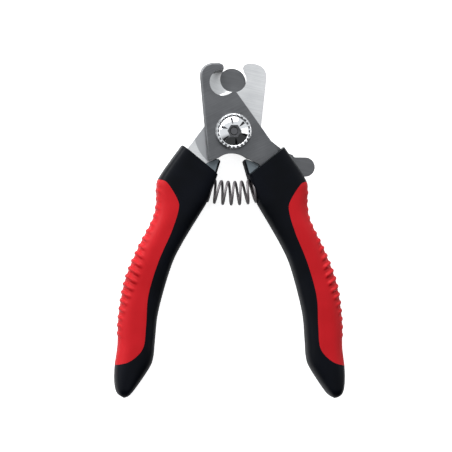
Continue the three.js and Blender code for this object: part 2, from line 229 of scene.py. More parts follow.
def worked_steel(name, dark, light, rough, scratch_mm, scratch_angle, depth_mm, lap_shade_colour=None):
    """Stainless steel with fine parallel scratches over a soft cloudy tone.

    A lap shade colour paints shade into the lap round the pivot, on its left-hand side.
    """
    look, tree, shader = new_finish(name, Metallic=1.0)
    place = add_node(tree, "ShaderNodeTexCoord").outputs["Object"]
    turned_place = add_node(
        tree, "ShaderNodeMapping", inputs={"Vector": place, "Rotation": (0, 0, math.radians(scratch_angle))}
    ).outputs["Vector"]
    stretched = add_node(
        tree, "ShaderNodeMapping", inputs={"Vector": turned_place, "Scale": scratch_stretch}
    ).outputs["Vector"]
    scratches = add_node(
        tree, "ShaderNodeTexNoise",
        inputs={"Vector": stretched, "Scale": 1 / (scratch_mm * MM), "Detail": 4.0, "Roughness": 0.6},
    ).outputs["Fac"]
    clouds = add_node(
        tree, "ShaderNodeTexNoise",
        inputs={"Vector": place, "Scale": 1 / (steel_cloud_mm * MM), "Detail": 3.0},
    ).outputs["Fac"]
    grain = add_node(
        tree, "ShaderNodeTexNoise",
        inputs={"Vector": place, "Scale": 1 / (steel_grain_mm * MM), "Detail": 2.0},
    ).outputs["Fac"]
    mixed = add_node(
        tree, "ShaderNodeMix", {"data_type": "FLOAT"}, {"Factor": 0.5, "A": clouds, "B": scratches}
    ).outputs["Result"]
    tone = add_node(
        tree, "ShaderNodeMapRange", inputs={"Value": mixed, "From Min": 0.3, "From Max": 0.7}
    ).outputs["Result"]
    colour = add_node(
        tree, "ShaderNodeMix", {"data_type": "RGBA"}, {0: tone, 6: linear(dark), 7: linear(light)}
    ).outputs[2]
    if lap_shade_colour:
        colour = paint_lap_shade(tree, place, colour, lap_shade_colour)
    uneven = add_node(
        tree, "ShaderNodeMapRange",
        inputs={"Value": scratches, "To Min": rough - 0.07, "To Max": rough + 0.07},
    ).outputs["Result"]
    height = add_node(
        tree, "ShaderNodeMix", {"data_type": "FLOAT"}, {"Factor": 0.35, "A": scratches, "B": grain}
    ).outputs["Result"]
    bump = add_node(
        tree, "ShaderNodeBump", inputs={"Height": height, "Strength": 0.6, "Distance": depth_mm * MM}
    ).outputs["Normal"]
    tree.links.new(colour, shader.inputs["Base Color"])
    tree.links.new(uneven, shader.inputs["Roughness"])
    tree.links.new(bump, shader.inputs["Normal"])
    return look


print("steel grain:", steel_grain_mm, "mm, lap edge:", lap_shade_edge, "mm")

# %% The five steels
# Ground stainless sheet, drawn as a dark grey satin, a tone darker than the rear blade, with
# slanting streaks and a soft sheen where a polished blade would mirror the room.
front_steel = worked_steel("stainless_steel_dark_satin", "#67686a", "#808183", 0.42, 0.5, -25, 0.03)
# The rear blade, of the same sheet, is drawn almost white and streaked across. Inside the lap, on
# the left, it carries painted shade a tone darker, where the step and the front blade shade it.
rear_steel = worked_steel(
    "stainless_steel_bright_ground", "#d9dadb", "#fbfbfb", 0.45, 0.45, 12, 0.03, lap_shade_colour="#b9babc"
)
# The sheared edge of a blank is rough and grey, and draws a thin line round the bright blade.
edge_steel = worked_steel("stainless_steel_sheared_edge", "#8d8e90", "#a5a6a8", 0.5, 0.3, 0, 0.03)
# Thin sheet tumbled with stones: an even mid grey with hardly any direction in it.
guard_steel = worked_steel("stainless_steel_tumbled_sheet", "#6b6c6e", "#818284", 0.5, 0.8, 10, 0.03)
# The fresh grind of the notch has the finest scratches, so the crescent catches the light.
grind_steel = worked_steel("stainless_steel_fresh_grind", "#b9babb", "#dedfdf", 0.35, 0.3, 20, 0.01)
print("steels:", [m.name for m in bpy.data.materials if m.name.startswith("stainless")])

# %% [markdown]
# ### Plated steel and drawn wire
# Plate copies the metal under it, so it is smooth but never quite flat: a faint ripple bends its
# reflections, and fingermarks change how sharp they are. Two slow noises are enough for that.

# %% Plate and wire
ripple_mm = 1.6  # the waves of a polished face are a millimetre or two apart
fingermark_mm = 4


def plated(name, colour, rough, waviness_mm, metal=1.0):
    """Bright plate: a mirror with the faint orange peel of the metal under it."""
    look, tree, shader = new_finish(name, Metallic=metal, Base_Color=linear(colour))
    place = add_node(tree, "ShaderNodeTexCoord").outputs["Object"]
    peel = add_node(
        tree, "ShaderNodeTexNoise", inputs={"Vector": place, "Scale": 1 / (ripple_mm * MM), "Detail": 2.0}
    ).outputs["Fac"]
    smudge = add_node(
        tree, "ShaderNodeTexNoise",
        inputs={"Vector": place, "Scale": 1 / (fingermark_mm * MM), "Detail": 4.0},
    ).outputs["Fac"]
    uneven = add_node(
        tree, "ShaderNodeMapRange", inputs={"Value": smudge, "To Min": rough * 0.6, "To Max": rough * 1.5}
    ).outputs["Result"]
    bump = add_node(
        tree, "ShaderNodeBump", inputs={"Height": peel, "Strength": 0.5, "Distance": waviness_mm * MM}
    ).outputs["Normal"]
    tree.links.new(uneven, shader.inputs["Roughness"])
    tree.links.new(bump, shader.inputs["Normal"])
    return look


# Chrome over polished steel mirrors the room: white where it meets the lamps, black elsewhere.
chrome = plated("chrome_plate_polished", "#f1f2f3", 0.07, 0.02)
# Painted shade for the hollows: the nut's recess, grooves and tooth pockets and the bolt's end get a darker,
# duller grey, partly for chrome that runs thin there and partly for the shade that falls in them.
recess_shade_steel = plated("chrome_plate_thin_with_painted_recess_shade", "#6c6c6e", 0.3, 0.05)
# Bright zinc is a cool grey and blurs what it mirrors.
zinc = plated("zinc_plate_bright", "#c4c6c8", 0.28, 0.02)
# Cold-drawn wire under an oily oxide skin: a brownish grey, part metal and part skin.
wire_steel = plated("spring_wire_drawn", "#858082", 0.5, 0.03, metal=0.6)
print("plated:", chrome.name, recess_shade_steel.name, zinc.name, wire_steel.name)

# %% [markdown]
# ### Moulded plastic and rubber
# A moulded face copies the spark-eroded steel of its tool, so it has a fine even grain that
# breaks up its gloss. The pigment is all through, so the colour hardly varies: only a slow cloud
# from handling. The real grain is near 0.1 mm, and is drawn about four times as coarse to show.

# %% Plastics
handling_mm = 14


def moulded(name, base, lighter, rough, gloss, grain_mm, grain_depth_mm, ior=1.5):
    """Pigmented plastic or rubber with a mould texture and a little handling wear."""
    look, tree, shader = new_finish(name, IOR=ior, Specular_IOR_Level=gloss)
    place = add_node(tree, "ShaderNodeTexCoord").outputs["Object"]
    grain = add_node(
        tree, "ShaderNodeTexNoise",
        inputs={"Vector": place, "Scale": 1 / (grain_mm * MM), "Detail": 3.0, "Roughness": 0.65},
    ).outputs["Fac"]
    clouds = add_node(
        tree, "ShaderNodeTexNoise",
        inputs={"Vector": place, "Scale": 1 / (handling_mm * MM), "Detail": 3.0},
    ).outputs["Fac"]
    tone = add_node(
        tree, "ShaderNodeMapRange", inputs={"Value": clouds, "From Min": 0.35, "From Max": 0.7}
    ).outputs["Result"]
    colour = add_node(
        tree, "ShaderNodeMix", {"data_type": "RGBA"}, {0: tone, 6: linear(base), 7: linear(lighter)}
    ).outputs[2]
    uneven = add_node(
        tree, "ShaderNodeMapRange", inputs={"Value": clouds, "To Min": rough - 0.05, "To Max": rough + 0.06}
    ).outputs["Result"]
    bump = add_node(
        tree, "ShaderNodeBump", inputs={"Height": grain, "Strength": 0.5, "Distance": grain_depth_mm * MM}
    ).outputs["Normal"]
    tree.links.new(colour, shader.inputs["Base Color"])
    tree.links.new(uneven, shader.inputs["Roughness"])
    tree.links.new(bump, shader.inputs["Normal"])
    return look


# Black ABS: a deep blue-black with a narrow soft sheen along its rounded edges.
black_plastic = moulded("abs_black_moulded", "#020409", "#060912", 0.4, 0.12, 0.4, 0.03)
# The same black ABS, painted a light blue grey on the ledge's flat face: a painted sheen for the light that
# face reflects.
ledge_sheen_plastic = moulded("abs_black_moulded_painted_sheen_face", "#737e84", "#80898f", 0.5, 0.2, 0.5, 0.02)
# Thermoplastic rubber moulded over the core: a strong red, slightly matt, so that the light on
# the ribs is broad and soft.
red_rubber = moulded("tpr_red_moulded", "#b91019", "#c4151f", 0.5, 0.2, 0.35, 0.03, ior=1.48)
print("finishes:", len(bpy.data.materials))

# %% [markdown]
# ## Blades
# Both blades are one stamped and ground part, used twice: the rear one is the front one turned
# over. Its outline has straight cuts, arcs and one hooked nose. Arcs are worked out from their
# centres, and the nose is a smooth line through a few stations, as a template maker draws it.

# %% Lines and arcs
def smooth_line(points, steps=8):
    """Points of a smooth line through the given ones (a uniform Catmull-Rom spline)."""
    p = np.array(points, float)
    p = np.vstack([2 * p[0] - p[1], p, 2 * p[-1] - p[-2]])
    t = np.linspace(0, 1, steps, endpoint=False)[:, None]
    spans = []
    for a, b, c, d in zip(p, p[1:], p[2:], p[3:]):
        cubic = (3 * b - a - 3 * c + d) * t**3 + (2 * a - 5 * b + 4 * c - d) * t**2 + (c - a) * t
        spans.append(b + cubic / 2)
    return np.vstack([*spans, p[-2][None]])


def beside(line, distance):
    """A line moved sideways, to the left of its direction of travel."""
    along = np.gradient(line, axis=0)
    along /= np.linalg.norm(along, axis=1)[:, None]
    return line + distance * np.column_stack([-along[:, 1], along[:, 0]])


def arc(centre, radius, start, end, steps):
    """Points of an arc between two angles in degrees."""
    angles = np.radians(np.linspace(start, end, steps + 1))
    return [(centre[0] + radius * math.cos(a), centre[1] + radius * math.sin(a)) for a in angles]


print("a quarter circle of radius 1 ends at", np.round(arc((0, 0), 1, 0, 90, 4)[-1], 3))

# %% The blade's outline
notch = (-0.3, 23.1)
notch_radius = 5.6
heel_radius = 17.3
lap_radius = 17.8


def blade_outline():
    """The blade from its notch round the nose, the back, the heel and the belly."""
    nose = [(-5.56, 25.02), (-4.8, 26.4), (-4.35, 28), (-4.9, 29.6), (-6.6, 30.4)]
    back = [(-6.6, 30.4), (-10.2, 30.2), (-13.1, 28.8), (-14.7, 26.4), (-14.9, 23.5)]
    heel = (-11.1, -math.sqrt(heel_radius**2 - 11.1**2))
    belly_x, belly_y, rise = 6.4, -11.9, 2.2
    radius = (belly_x**2 + rise**2) / (2 * rise)
    half = math.degrees(math.asin(belly_x / radius))
    belly = arc((0, belly_y + rise - radius), radius, 90 + half, 90 - half, 16)
    return [
        *arc(notch, notch_radius, -76, -200, 48)[:-1],
        *map(tuple, smooth_line(nose, 8)[:-1]),
        *map(tuple, smooth_line(back, 8)),
        heel, *belly, (11.7, -14.3), (18, -16), (20.3, -8.4),
    ]


print("points round the blade:", len(blade_outline()))

# %% The tang's outline and its screws
tang_outer = [(20.3, -8.4), (22.6, -14), (24, -21), (24.6, -31), (27, -41), (31.5, -50), (36, -57.2)]
tang_inner = [
    (11.7, -14.3), (14.2, -19), (16.3, -26), (17.8, -34), (20.8, -43.5), (25.2, -52.5), (30, -59.5),
]
tang_tip = (34, -60.2)
screw_places = [(20.5, -28), (24.9, -46.2), (44.6, -108.5)]


def tang_outline(grow=0.0):
    """The tail that the handle is moulded to hold, or with grow, the slot it lies in."""
    outer = beside(smooth_line(tang_outer, 4), grow)
    inner = beside(smooth_line(tang_inner, 4), -grow)[::-1]
    tip = (tang_tip[0] + grow / 2, tang_tip[1] - grow)
    return [*map(tuple, outer), tip, *map(tuple, inner)]


print("points round the tang:", len(tang_outline()))

# %% [markdown]
# ### Cutting metal
# Steel is sawn, milled, drilled and ground, so booleans fit it best: a plate is raised from the
# outline, and each cut is a closed shape taken from it. The edges are eased afterwards with a
# Bevel modifier, because a tumbled blank has no sharp corners left but its cutting edge.

# %% Plates, bars and cutters
def plate(outline, low, high):
    """A bmesh of a flat outline raised from one level to another."""
    bm = bmesh.new()
    corners = [bm.verts.new((x, y, low)) for x, y in outline]
    floor = bm.faces.new(corners)
    raised = bmesh.ops.extrude_face_region(bm, geom=[floor])["geom"]
    raised_verts = [v for v in raised if isinstance(v, bmesh.types.BMVert)]
    bmesh.ops.translate(bm, vec=(0, 0, high - low), verts=raised_verts)
    bmesh.ops.recalc_face_normals(bm, faces=bm.faces)
    return bm


def rod(radius, low, high, place=(0, 0), sides=64, top=None):
    """A bmesh of a round bar or cone along z."""
    bm = bmesh.new()
    shift = Matrix.Translation((*place, (low + high) / 2))
    bmesh.ops.create_cone(
        bm, cap_ends=True, segments=sides, radius1=radius, radius2=radius if top is None else top,
        depth=high - low, matrix=shift,
    )
    return bm


def tool(bm):
    """A closed shape that cuts, joins or trims another, and is then thrown away."""
    return piece("tool", bm)


def carve(thing, cutter, how="DIFFERENCE"):
    """Cuts, joins or trims a piece with a closed tool shape."""
    cut = thing.modifiers.new("carve", "BOOLEAN")
    cut.operation = how
    cut.solver = "EXACT"
    cut.object = cutter
    applied(thing)
    bpy.data.objects.remove(cutter)
    return thing


def soften(thing, width, segments=2, angle=40, look=-1):
    """Rounds every sharp edge by a small width. The rounding may have a look of its own."""
    edge = thing.modifiers.new("soften", "BEVEL")
    edge.width = width
    edge.segments = segments
    edge.limit_method = "ANGLE"
    edge.angle_limit = math.radians(angle)
    edge.use_clamp_overlap = True
    edge.material = look
    applied(thing)
    return thing


print("a 1 mm plate has", len(plate([(0, 0), (1, 0), (1, 1), (0, 1)], 0, 1).faces), "faces")

# %% The notch's grinding wheel
grind_shift = (-4.5, -1.4)
grind_widening = 0.35
edge_land = 0.25  # the flat left standing behind the cutting edge


def grinding_wheel():
    """A leaning cone, from the cutting edge out to where the grind meets the blade's face."""
    rise = tang_front - blade_back - edge_land
    bm = rod(notch_radius, 0, 2 * rise, sides=160, top=notch_radius + 2 * grind_widening)
    lean = Matrix.Identity(4)
    lean[0][2] = grind_shift[0] / rise
    lean[1][2] = grind_shift[1] / rise
    bmesh.ops.transform(bm, matrix=lean, verts=bm.verts)
    bmesh.ops.translate(bm, vec=(*notch, blade_back + edge_land), verts=bm.verts)
    return bm


print("the grind rises", round(tang_front - blade_back - edge_land, 2), "mm")

# %% [markdown]
# ### One blade, cut twice
# The blade is raised as a plate and its nose and back are rounded over. The thick tang is cut
# away where it would meet the other blade and joined on, the holes are drilled, and the notch is
# ground last, after the edges are eased, so that it keeps its crisp rim.

# %% Cut, drill and grind
bolt_hole = 3.12
tang_screw_hole = 1.5
nose_round = 1.0
edge_break = 0.18


def ease(bm, chosen, width, segments=3):
    """Rounds over chosen edges of a bmesh."""
    bmesh.ops.bevel(
        bm, geom=chosen, offset=width, offset_type="OFFSET", segments=segments, profile=0.5,
        affect="EDGES", material=-1, clamp_overlap=False,
    )


def is_front_rim(edge, height):
    """Whether an edge lies in the front face."""
    return all(abs(v.co.z - height) < 1e-4 for v in edge.verts)


def cut_blade(name, body_look, edge_look):
    """Makes a blade. Its slots are the body's look, the fresh grind and the sheared edge."""
    bm = plate(blade_outline(), blade_back, tang_front)
    # The hooked nose and its back are rounded over, more than the other edges.
    back = [
        e for e in bm.edges
        if is_front_rim(e, tang_front)
        and all(v.co.x < -4.2 and v.co.y > 24.5 or v.co.x < -10.5 for v in e.verts)
    ]
    ease(bm, back, nose_round, 6)
    blade = piece(name, bm, body_look, grind_steel, edge_look)
    tang = tool(plate(tang_outline(), tang_back, tang_front))
    carve(tang, tool(rod(lap_radius, tang_back - 1, blade_back, sides=192)))
    carve(blade, tang, "UNION")
    carve(blade, tool(rod(bolt_hole, 0, handle_top, sides=96)))
    for place in screw_places[:2]:
        carve(blade, tool(rod(tang_screw_hole, 0, handle_top, place, 32)))
    soften(blade, edge_break, 2, 35, look=2)
    wheel = tool(grinding_wheel())
    wheel.data.materials.append(body_look)
    wheel.data.materials.append(grind_steel)
    wheel.data.polygons.foreach_set("material_index", [1] * len(wheel.data.polygons))
    carve(blade, wheel)
    return blade


front_blade = cut_blade("front_blade_ground", front_steel, front_steel)
rear_blade = cut_blade("rear_blade_ground", rear_steel, edge_steel)
turn_over = Matrix.Translation((0, 0, handle_top)) @ Matrix.Rotation(math.pi, 4, "Y")
rear_blade.data.transform(turn_over)
print("blade faces:", len(front_blade.data.polygons))

# %% [markdown]
# ## Guard
# The guard is laser-cut from sheet: a hub round the bolt, a disc that stops the nail, and an arm
# out to a round thumb tab. It is drawn as separate simple shapes, joined, and its edges eased.

# %% The guard plate
guard_back = level("guard_plate", 0)
guard_front = level("guard_plate", 1)
guard_disc = (-0.3, 21.9)
disc_radius = 6.2
hub_radius = 9
tab = (33.2, -15.2)
tab_radius = 4.3


def guard_shape():
    """Joins the hub, the disc, its neck and the arm, and drills the hub."""
    upper = [(0, 4), (8, 3.5), (24.4, -8.9), (27.3, -9.8), (28.2, tab[1] + tab_radius)]
    lower = [(24.2, tab[1] - tab_radius), (14, -11.2), (6, -6)]
    arm = [*upper, *arc(tab, tab_radius, 90, -90, 40), *lower]
    disc_x, disc_y = guard_disc
    neck = [(-5.5, 5), (disc_x - 4, disc_y - 3.4), (disc_x + 4, disc_y - 3.4), (5.5, 5)]
    guard = piece("guard_sheet", rod(hub_radius, guard_back, guard_front, sides=128), guard_steel)
    for bm in (
        rod(disc_radius, guard_back, guard_front, guard_disc, 128),
        plate(neck, guard_back, guard_front),
        plate(arm, guard_back, guard_front),
    ):
        carve(guard, tool(bm), "UNION")
    carve(guard, tool(rod(bolt_hole, 0, handle_top, sides=96)))
    soften(guard, edge_break, 3, 35)
    return guard


guard = guard_shape()
print("guard faces:", len(guard.data.polygons))

# %% [markdown]
# ## The bolt and its washers
# Turned parts are spun from a half profile, as on a lathe: each point is a radius and a height.
# Spin with use_merge closes the turn, and the doubles at the poles are merged. The thread is a
# row of plain V-grooves, not a helix, as only its end shows in the nut.

# %% Spin a profile
def turned(profile, sides=128):
    """A bmesh of a turned shape: a profile of (radius, z) points spun round the z axis."""
    bm = bmesh.new()
    points = [bm.verts.new((r, 0, z)) for r, z in profile]
    for a, b in zip(points, points[1:]):
        bm.edges.new((a, b))
    bmesh.ops.spin(
        bm, geom=bm.verts[:] + bm.edges[:], cent=(0, 0, 0), axis=(0, 0, 1), angle=math.tau,
        steps=sides, use_merge=True,
    )
    bmesh.ops.remove_doubles(bm, verts=bm.verts, dist=1e-4)
    return bm


print("a spun cone of 8 sides has", len(turned([(1, 0), (0, 1)], 8).faces), "faces")

# %% The bolt's profile
head_radius = (bolt_high.x - bolt_low.x) / MM / 2
head_back = level("pivot_bolt", 0)
head_front = head_back + 2.2
nut_back = level("pivot_nut", 0)
nut_top = level("pivot_nut", 1)
bolt_top = level("pivot_bolt", 1)
shoulder_radius = 3.0
thread_radius = 2.3
thread_root = thread_radius - 0.4
thread_pitch = 0.8


def bolt_profile():
    """A low cheese head with rounded corners, the shoulder that the blades turn on, the thread."""
    shoulder_top = nut_back - 0.15
    thread = []
    z = shoulder_top + 0.5
    while z < bolt_top - 0.7:
        thread += [(thread_root, z), (thread_radius, z + thread_pitch / 2)]
        z += thread_pitch
    return [
        (0, head_back + 0.25), (3.4, head_back + 0.16), (head_radius - 0.9, head_back),
        (head_radius - 0.3, head_back + 0.12), (head_radius, head_back + 0.5),
        (head_radius, head_front - 0.15), (head_radius - 0.15, head_front),
        (shoulder_radius, head_front), (shoulder_radius, shoulder_top), (thread_root, shoulder_top),
        *thread, (thread_root, bolt_top - 0.4), (thread_radius - 0.8, bolt_top), (0, bolt_top),
    ]


print("bolt profile points:", len(bolt_profile()))

# %% Turn the bolt and cut its slot
slot_size = (20, 1.3, 2.2)
slot_turn = 0.5

bolt = piece("pivot_bolt_turned", turned(bolt_profile(), 96), zinc, recess_shade_steel)
# The bolt's end, deep in the nut's recess, takes the same darker grey: painted shade over its rougher end.
for face in bolt.data.polygons:
    face.material_index = int(face.center.z > nut_back)

slot = bmesh.new()
slot_place = Matrix.Rotation(slot_turn, 4, "Z") @ Matrix.Diagonal((*slot_size, 1))
bmesh.ops.create_cube(slot, size=1, matrix=slot_place)
bmesh.ops.translate(slot, vec=(0, 0, head_back), verts=slot.verts)
carve(bolt, tool(slot))
shade(bolt, 30)
print("bolt:", round(bolt_top - head_back, 1), "mm long, head", round(2 * head_radius, 1), "mm across")

# %% The two washers
washer_bore = 3.12
washer_rim = 7.2
washer_break = 0.1
washer_back, washer_front = level("nut_washer", 0), level("nut_washer", 1)
nut_washer = piece(
    "nut_washer_blanked",
    turned([
        (washer_bore, washer_back + washer_break), (washer_bore + washer_break, washer_back),
        (washer_rim - washer_break, washer_back), (washer_rim, washer_back + washer_break),
        (washer_rim, washer_front - washer_break), (washer_rim - washer_break, washer_front),
        (washer_bore + washer_break, washer_front), (washer_bore, washer_front - washer_break),
        (washer_bore, washer_back + washer_break),
    ]),
    zinc,
)
wave_low, wave_high = level("wave_washer", 0), level("wave_washer", 1)
wave_mid = (wave_low + wave_high) / 2
wave_rim, wave_half, wave_lift, wave_count = 5.6, 0.17, 0.12, 3
wave_ring = turned([
    (washer_bore, -wave_half), (wave_rim, -wave_half), (wave_rim, wave_half), (washer_bore, wave_half),
    (washer_bore, -wave_half),
], 96)
for v in wave_ring.verts:
    v.co.z += wave_mid + wave_lift * math.cos(wave_count * math.atan2(v.co.y, v.co.x))
wave_washer = piece("wave_washer_pressed", wave_ring, wire_steel)
print("washers:", len(nut_washer.data.polygons), "and", len(wave_washer.data.polygons), "faces")

# %% [markdown]
# ## Nut
# The nut is turned with a domed face, then its rim is pressed into teeth, its dome gets six
# radial grooves, and a hexagonal recess takes the fitter's key. What a cutter leaves gets a darker grey,
# painted shade along with the thin plate there, so that teeth and grooves read as dark lines in the bright
# chrome.

# %% The nut's profile
nut_teeth = 24
groove_angles = range(42, 402, 60)
dome_radius = 11.0
nut_rim = 8
nut_bore = 2.4


def nut_profile():
    """A flat flange, a rounded crown for the teeth, and a shallow dome."""
    flange_top = nut_back + 0.75
    crown_top = flange_top + 1.05
    dome_centre = nut_top - dome_radius
    dome = [(r, dome_centre + math.sqrt(dome_radius**2 - r**2)) for r in np.linspace(6.35, nut_bore, 14)]
    return [
        (nut_bore, nut_back), (7.85, nut_back), (nut_rim, nut_back + 0.15), (nut_rim, flange_top - 0.1),
        (7.9, flange_top), (7.85, crown_top - 0.45), (7.7, crown_top - 0.15), (7.4, crown_top),
        (6.9, crown_top - 0.03), (6.55, crown_top - 0.25), *dome, (nut_bore, nut_back),
    ]


print("nut profile points:", len(nut_profile()))

# %% Cutters for the teeth and the grooves
pocket_radius, pocket_size = 6.95, (0.7, 1.15, 1.6)
scallop_radius, scallop_size = 8.0, (0.7, 1.0, 2.2)
groove_middle = 4.6
groove_slope = 0.43


def tooth_gaps():
    """A pocket behind the rim between each tooth and the next, and a scallop in the rim beside it."""
    bm = bmesh.new()
    for i in range(nut_teeth):
        turn = Matrix.Rotation(math.tau * i / nut_teeth, 4, "Z")
        for radius, size in ((pocket_radius, pocket_size), (scallop_radius, scallop_size)):
            place = Matrix.Translation((radius, 0, nut_back + 1.9))
            bmesh.ops.create_cube(bm, size=1, matrix=turn @ place @ Matrix.Diagonal((*size, 1)))
    return bm


def dome_grooves():
    """Radial V-grooves, wide at the rim and narrow towards the middle."""
    bm = bmesh.new()
    for angle in groove_angles:
        turn = Matrix.Rotation(math.radians(angle), 4, "Z")
        place = Matrix.Translation((groove_middle, 0, nut_top - 0.8)) @ Matrix.Rotation(groove_slope, 4, "Y")
        bmesh.ops.create_cone(
            bm, cap_ends=True, segments=4, radius1=0.35, radius2=0.95, depth=3.4,
            matrix=turn @ place @ Matrix.Rotation(math.pi / 2, 4, "Y"),
        )
    return bm


def shade_cutter(bm):
    """A cutter that leaves painted shade, the darker recess grey, on what it cuts."""
    cutter = piece("tool", bm, chrome, recess_shade_steel)
    cutter.data.polygons.foreach_set("material_index", [1] * len(cutter.data.polygons))
    return cutter


print("teeth:", nut_teeth, "grooves:", len(groove_angles))

# %% Cut the nut
recess_radius = 3.1
recess_depth = 1.3

nut = piece("pivot_nut_plated", turned(nut_profile(), 160), chrome, recess_shade_steel)
carve(nut, shade_cutter(tooth_gaps()))
carve(nut, shade_cutter(dome_grooves()))
recess = rod(recess_radius, nut_top - recess_depth, nut_top + 1, sides=6)
bmesh.ops.rotate(recess, matrix=Matrix.Rotation(math.pi / 6, 3, "Z"), verts=recess.verts)
carve(nut, shade_cutter(recess))
soften(nut, 0.06, 2, 40)
print("nut faces:", len(nut.data.polygons))

# %% [markdown]
# ## Spring
# The spring is cold-wound wire with one dead coil at each end. It is a sheet of quads wrapped
# round the coil's centre line: a grid has as many rows as the wire has steps, each row is laid
# round the wire, and the seam is merged. Its axis bows a little, as the handles are not parallel.

# %% The wire's centre line
coil_radius = 4.95
wire_radius = 0.58
bow_radius = 42.6
bow_centre = Vector((0, bow_radius - 27.35, mid))
half_span = 10.6
open_turns = 5.7
dead_turns = 0.8
all_turns = open_turns + 2 * dead_turns
first_phase = 0.42  # turns from the middle to the first coil's top
coil_lean = 0.17  # the coils lean to one side in their seats, and square up at the dead ends
squaring_turns = 1.2


def coil_point(turns):
    """Centre of the wire, turns counted from the spring's middle."""
    dead_pitch = 2 * wire_radius * 1.02
    open_pitch = (2 * half_span - 2 * dead_turns * dead_pitch) / open_turns
    reach = min(abs(turns), open_turns / 2)
    beyond = abs(turns) - reach
    distance = math.copysign(reach * open_pitch + beyond * dead_pitch, turns)
    angle = distance / bow_radius
    spin = (turns - first_phase) * math.tau
    radius = bow_radius - coil_radius * math.cos(spin)
    depth = coil_radius * math.sin(spin)
    lean = coil_lean * min(1, (all_turns / 2 - abs(turns)) / squaring_turns)
    across, down = radius * math.sin(angle) + lean * depth, -radius * math.cos(angle)
    return bow_centre + Vector((across, down, -depth))


wire_length = all_turns * math.tau * coil_radius
print("wire:", round(wire_length), "mm long, coils", round(2 * coil_radius, 1), "mm across")

# %% Wrap the wire
steps_per_turn = 48


def wrap_round(path, radius, around):
    """A tube: a grid whose rows are laid round each point of a path."""
    bm = bmesh.new()
    bmesh.ops.create_grid(bm, x_segments=len(path) - 1, y_segments=around, size=0.5)
    for v in bm.verts:
        i = round((v.co.x + 0.5) * (len(path) - 1))
        angle = (v.co.y + 0.5) * math.tau
        along = (path[min(i + 1, len(path) - 1)] - path[max(i - 1, 0)]).normalized()
        side = along.cross(path[i] - bow_centre).normalized()
        up = side.cross(along)
        v.co = path[i] + radius * (math.cos(angle) * side + math.sin(angle) * up)
    bmesh.ops.remove_doubles(bm, verts=bm.verts, dist=radius * 1e-3)
    bmesh.ops.holes_fill(bm, edges=[e for e in bm.edges if e.is_boundary])
    return bm


wire_turns = np.linspace(-all_turns / 2, all_turns / 2, int(all_turns * steps_per_turn))
wire_path = [coil_point(t) for t in wire_turns]
spring = piece("return_spring_wound", wrap_round(wire_path, wire_radius, 14), wire_steel, crisp=50)
print("spring wire points:", len(wire_path))

# %% [markdown]
# ## Handles
# Each handle is two black half shells round the tang, with a red grip moulded round a rail on
# their outer side. The two handles mirror each other, so only the right-hand one is drawn. Its
# edges are stations in millimetres about the pivot, joined by smooth lines.

# %% Outlines of the right-hand handle
end_outer = (22.7, -6.6)
end_inner = (6.9, -19.35)
outer_edge = [
    (17.4, 1.1), (22.7, -6.6), (32.4, -20.6), (33.6, -26), (33.6, -32), (35.2, -39.5), (41.6, -52.5),
    (47.2, -67), (49.8, -83), (50.1, -95), (51.2, -104), (51.3, -111), (50.2, -116), (47.1, -118.3),
]
inner_edge = [
    (1.9, -3), (6.9, -19.35), (11.2, -31), (13.6, -35.5), (22.2, -50), (27, -60.5), (32.2, -79.5),
    (33.6, -92), (34.3, -100), (36.2, -105.2), (43.6, -115.8), (47.1, -118.3),
]
grip_edge = [
    (38, -19.6), (33, -21.7), (29.6, -23.3), (25.2, -30.2), (24.5, -35), (27.5, -44.8), (33, -57.8),
    (37.3, -72.5), (38.2, -86), (39.4, -95.8), (44.6, -101.4), (50.6, -103.4), (56, -104.6),
]


def travelled(line):
    """Distance along a line at each of its points."""
    return np.concatenate([[0], np.cumsum(np.linalg.norm(np.diff(line, axis=0), axis=1))])


def spaced(line, shares):
    """Points of a line at shares of its length."""
    s = travelled(line)
    return np.column_stack([np.interp(shares * s[-1], s, line[:, i]) for i in range(line.shape[1])])


outer_line = smooth_line(outer_edge, 24)
inner_line = smooth_line(inner_edge, 24)
outer_length = travelled(outer_line)[-1]
print("outer edge is", round(outer_length, 1), "mm long")

# %% [markdown]
# ### The section and its ribs
# Cut across, a handle is a soft rectangle: a superellipse, whose exponent says how square it is.
# The ribs are raised in the grip's skin itself, as they are in its mould. Each is a low rounded
# ridge along the outer edge, and the ones in the middle run furthest on to the face.

# %% Shape across the handle
above_cut = travelled(smooth_line(outer_edge[:2], 24))[-1]
rib_count = 19
rib_pitch = 3.68
first_rib = above_cut + 23.3
rib_width = 0.95
rib_slant = 0.42
rib_fade = 2.4
least_reach, more_reach, reach_spread = 0.35, 3.4, 12.5
least_rise, more_rise, rise_spread = 0.3, 0.36, 22


def smooth_step(x):
    """A ramp from 0 to 1 with soft ends."""
    x = np.clip(x, 0, 1)
    return x * x * (3 - 2 * x)


def squareness(y):
    """Exponent of the section: squarer at the blade end, rounder where the hand holds it."""
    return 5.0 - 2.0 * smooth_step((-14 - y) / 26)


def rib_height(along, inwards, y):
    """How far the ribs stand out of the grip. They run furthest on to its face in the middle."""
    reach = least_reach + more_reach * math.exp(-(((y + 66) / reach_spread) ** 2))
    lean = rib_slant * inwards
    nearest = round((along - lean - first_rib) / rib_pitch)
    nearest = min(max(nearest, 0), rib_count - 1)
    offset = abs(along - lean - first_rib - nearest * rib_pitch) / rib_width
    across = max(0.0, 1 - offset**2) ** 0.75
    fade = 1 - smooth_step((inwards - reach + 0.6) / rib_fade)
    rise = least_rise + more_rise * math.exp(-(((y + 64) / rise_spread) ** 2))
    return rise * across * fade


print("ribs:", rib_count, "over", round(rib_pitch * (rib_count - 1), 1), "mm")

# %% [markdown]
# ### The handle's body
# A grid is laid round the handle: one way it runs from the blade end to the tip, the other way
# round the section. The seam's doubles are merged and the open end is filled. The grip's rows
# are much finer than the shells', so that the ribs have enough faces.

